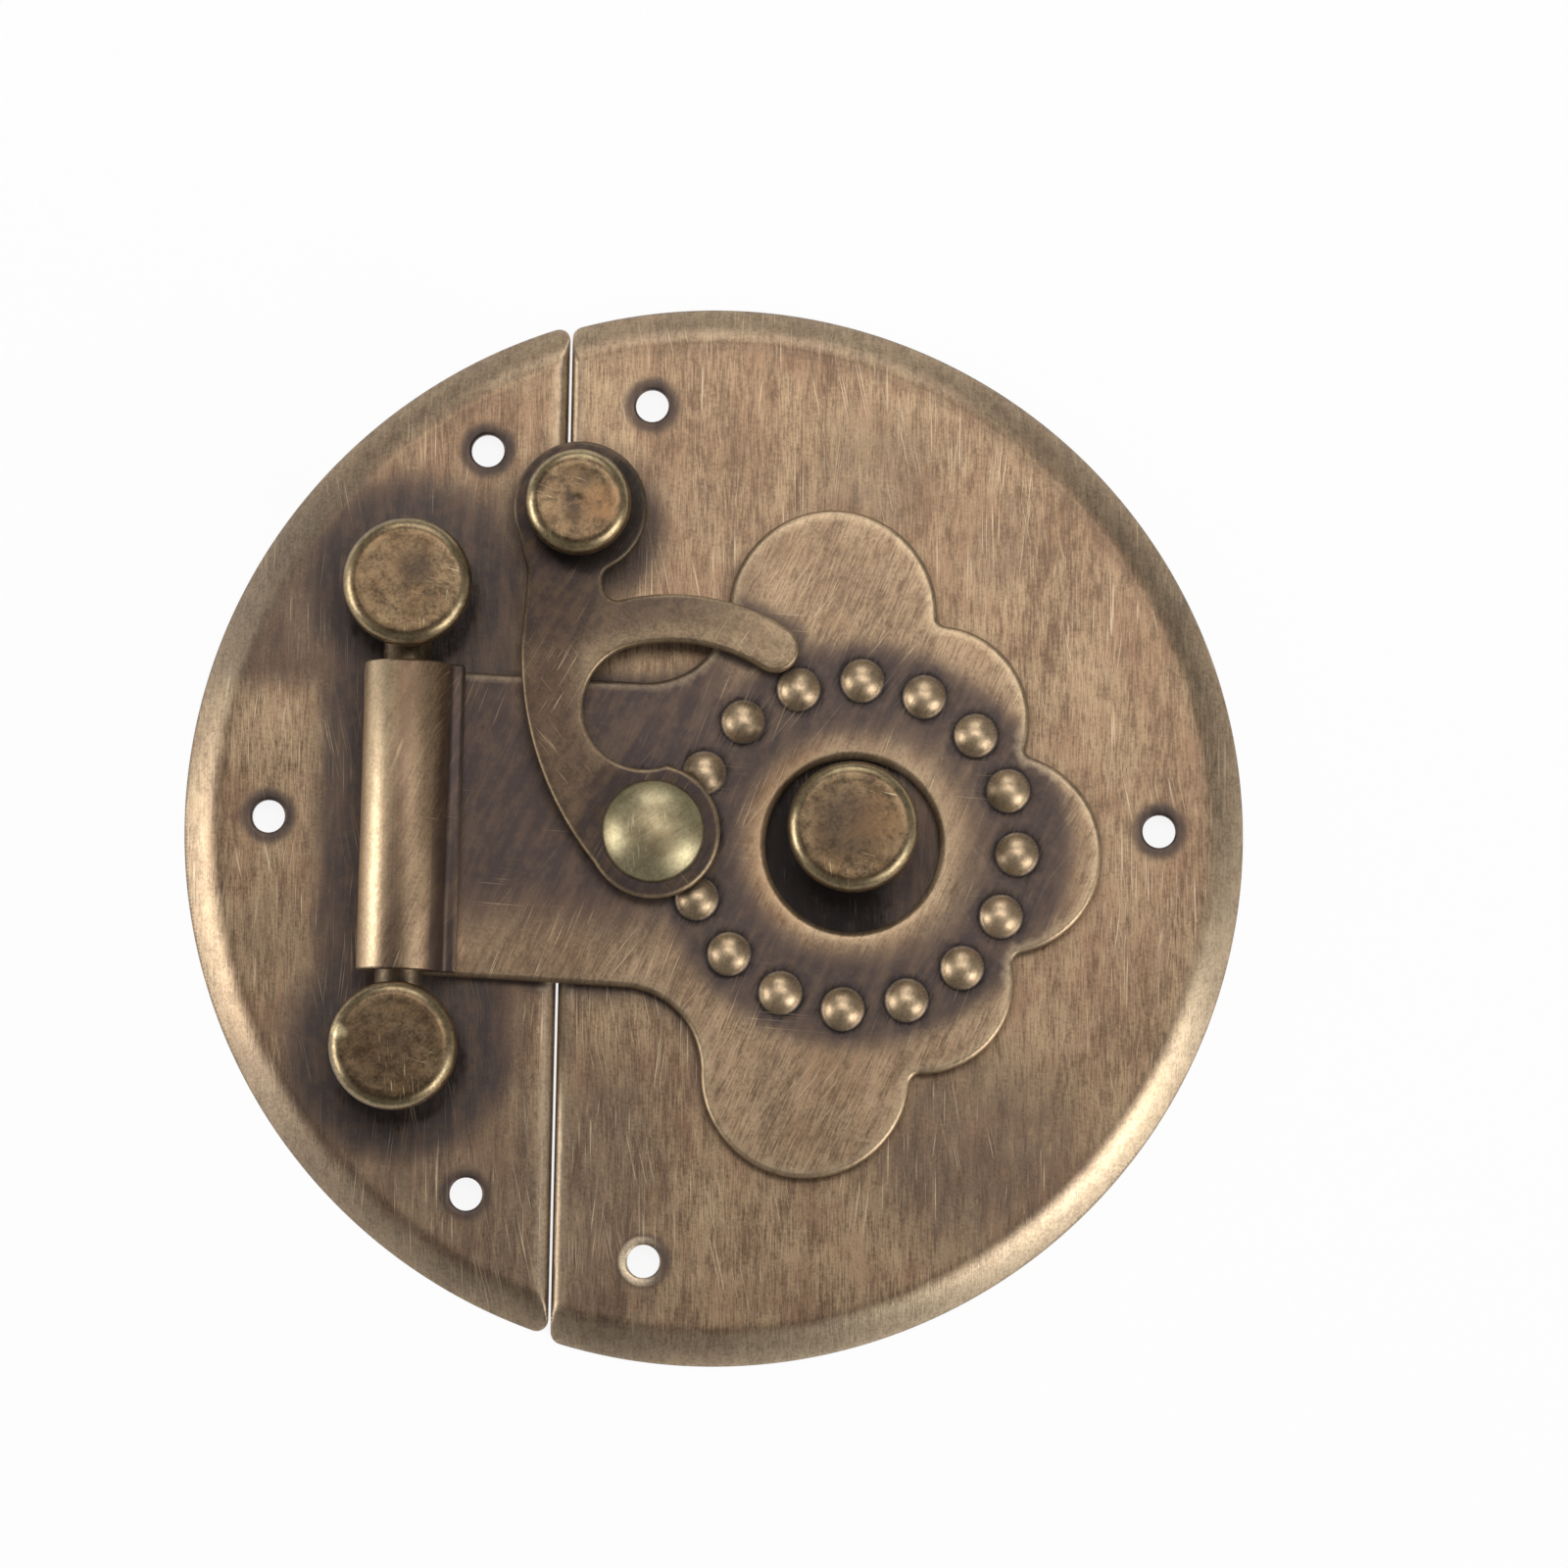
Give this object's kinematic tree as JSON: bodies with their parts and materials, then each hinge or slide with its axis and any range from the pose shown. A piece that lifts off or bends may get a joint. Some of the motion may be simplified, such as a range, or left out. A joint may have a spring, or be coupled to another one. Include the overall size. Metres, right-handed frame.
{
  "type": "cupboard latch",
  "caption": "Round two-part brass cupboard latch: a hinged scalloped hasp drops over a stud and a swinging hook lever locks it there.",
  "frame": {"origin": "centre of the round plate on its back plane, which lies against the doors", "axes": "+Z out of the cupboard, +Y up along the seam between the two plates, +X towards the catch plate"},
  "size_m": [0.09, 0.09, 0.0116],
  "materials": {
    "plate_brass": "antique, brushed along the seam, satin",
    "hasp_brass": "antique, brushed aslant, satin",
    "lever_brass": "antique, satin",
    "turned_brass": "antique, rubbed on the rounded edges",
    "rivet_brass": "bright, lightly scratched"
  },
  "bodies": {
    "plates": {"hinge_plate": "plate_brass", "catch_plate": "plate_brass", "upper_hinge_post": "turned_brass", "lower_hinge_post": "turned_brass", "hinge_pin": "turned_brass", "catch_stud": "turned_brass"},
    "hasp": {"hasp": "hasp_brass", "pivot_rivet": "rivet_brass", "pivot_washer": "turned_brass"},
    "hook": {"hook_lever": "lever_brass", "pull_knob": "turned_brass"}
  },
  "joints": [
    {"name": "hasp_swing", "type": "hinge", "parent": "plates", "child": "hasp", "pos_m": [-0.026, 0.0007, 0.00588], "axis": [-0.007, -1, 0], "range_deg": [0, 165]},
    {"name": "hook_swing", "type": "hinge", "parent": "hasp", "child": "hook", "pos_m": [-0.00492, -0.00015, 0.00499], "axis": [0, 0, 1], "range_deg": [-42, 4]}
  ]
}
